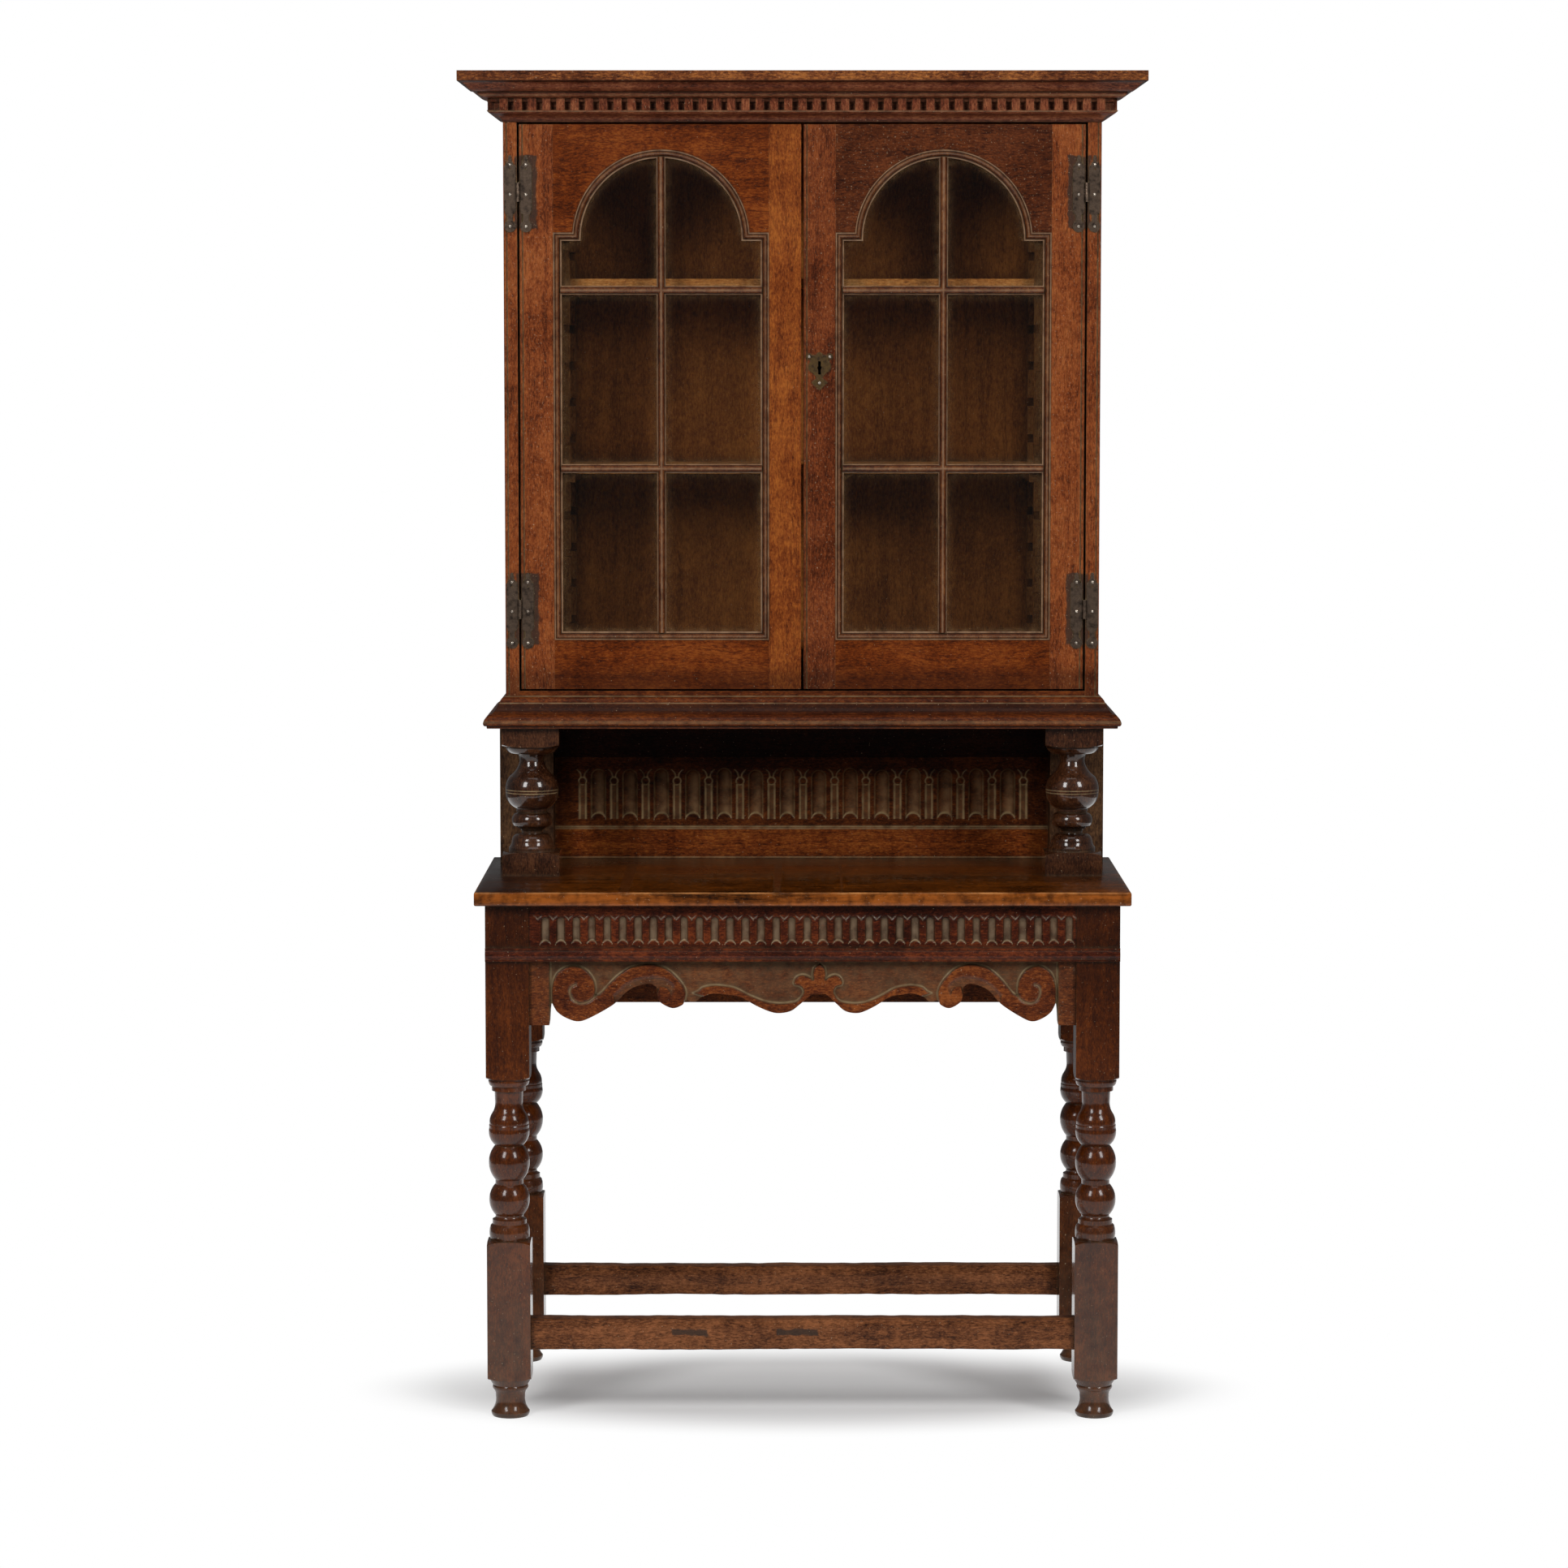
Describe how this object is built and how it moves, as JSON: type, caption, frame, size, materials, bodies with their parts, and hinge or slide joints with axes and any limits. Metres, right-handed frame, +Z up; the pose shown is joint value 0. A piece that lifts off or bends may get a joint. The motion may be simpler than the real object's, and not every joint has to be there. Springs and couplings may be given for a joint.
{
  "type": "bookcase on stand",
  "caption": "Glazed double-door oak bookcase raised on turned columns over a carved side table with bobbin-turned legs and box stretchers.",
  "frame": {"origin": "on the floor under the middle of the overall box", "axes": "+X to the right seen from the front, +Y to the back, +Z up; the doors face -Y"},
  "size_m": [0.892, 0.42, 1.74],
  "materials": {
    "dark_oak": "old dark varnish, worn at the edges",
    "plain_oak": "plain inner boards, dull",
    "wrought_iron": "aged, brown-grey",
    "old_bronze": "dull patina",
    "window_glass": "clear, slightly dusty"
  },
  "bodies": {
    "carcass": {"leg_front_left": "dark_oak", "leg_front_right": "dark_oak", "leg_back_left": "dark_oak", "leg_back_right": "dark_oak", "frame_pegs": "dark_oak", "frieze_rail": "dark_oak", "frieze_moulding": "dark_oak", "apron": "dark_oak", "side_rails": "dark_oak", "back_rail": "dark_oak", "long_stretchers": "dark_oak", "side_stretchers": "dark_oak", "table_top": "dark_oak", "stage_columns": "dark_oak", "rear_posts": "dark_oak", "stage_top_rail": "dark_oak", "carved_back_board": "dark_oak", "stage_bottom_board": "dark_oak", "soffit_board": "dark_oak", "cabinet_sides": "dark_oak", "cabinet_floor": "plain_oak", "cabinet_ceiling": "plain_oak", "back_boards": "plain_oak", "top_board": "dark_oak", "base_moulding_front": "dark_oak", "base_moulding_sides": "dark_oak", "cornice_front": "dark_oak", "cornice_sides": "dark_oak", "dentils": "dark_oak", "shelf_uprights": "plain_oak", "shelf_bearers": "plain_oak", "frame_hinge_leaves": "wrought_iron", "hinge_pins": "wrought_iron", "frame_hinge_nails": "wrought_iron"},
    "left_door": {"left_door_hinge_stile": "dark_oak", "left_door_meeting_stile": "dark_oak", "left_door_top_rail": "dark_oak", "left_door_bottom_rail": "dark_oak", "left_door_glazing_bars": "dark_oak", "left_door_glass": "window_glass", "left_door_hinge_leaves": "wrought_iron", "left_door_nails": "wrought_iron", "lock_keeper": "wrought_iron", "bolt_guides": "wrought_iron"},
    "right_door": {"right_door_hinge_stile": "dark_oak", "right_door_meeting_stile": "dark_oak", "right_door_top_rail": "dark_oak", "right_door_bottom_rail": "dark_oak", "right_door_glazing_bars": "dark_oak", "right_door_glass": "window_glass", "right_door_hinge_leaves": "wrought_iron", "right_door_nails": "wrought_iron", "escutcheon": "old_bronze", "lock_case": "wrought_iron"},
    "lock_bolt": {"lock_bolt": "wrought_iron"},
    "top_bolt": {"top_bolt": "wrought_iron"},
    "bottom_bolt": {"bottom_bolt": "wrought_iron"},
    "shelf_lower": {"shelf_lower": "plain_oak"},
    "shelf_middle": {"shelf_middle": "plain_oak"},
    "shelf_upper": {"shelf_upper": "plain_oak"}
  },
  "joints": [
    {"name": "left_door_hinge", "type": "hinge", "parent": "carcass", "child": "left_door", "pos_m": [-0.3707, -0.0155, 1.305], "axis": [0, 0, -1], "range_deg": [0, 165]},
    {"name": "right_door_hinge", "type": "hinge", "parent": "carcass", "child": "right_door", "pos_m": [0.3707, -0.0155, 1.305], "axis": [0, 0, 1], "range_deg": [0, 165]},
    {"name": "lock_bolt_slide", "type": "slide", "parent": "right_door", "child": "lock_bolt", "axis": [-1, 0, 0], "range_m": [0, 0.014]},
    {"name": "top_bolt_slide", "type": "slide", "parent": "left_door", "child": "top_bolt", "axis": [0, 0, 1], "range_m": [0, 0.012]},
    {"name": "bottom_bolt_slide", "type": "slide", "parent": "left_door", "child": "bottom_bolt", "axis": [0, 0, -1], "range_m": [0, 0.012]},
    {"name": "shelf_lower_lift", "type": "slide", "parent": "carcass", "child": "shelf_lower", "axis": [0, 0, 1], "range_m": [0, 0.03]},
    {"name": "shelf_middle_lift", "type": "slide", "parent": "carcass", "child": "shelf_middle", "axis": [0, 0, 1], "range_m": [0, 0.03]},
    {"name": "shelf_upper_lift", "type": "slide", "parent": "carcass", "child": "shelf_upper", "axis": [0, 0, 1], "range_m": [0, 0.03]}
  ]
}
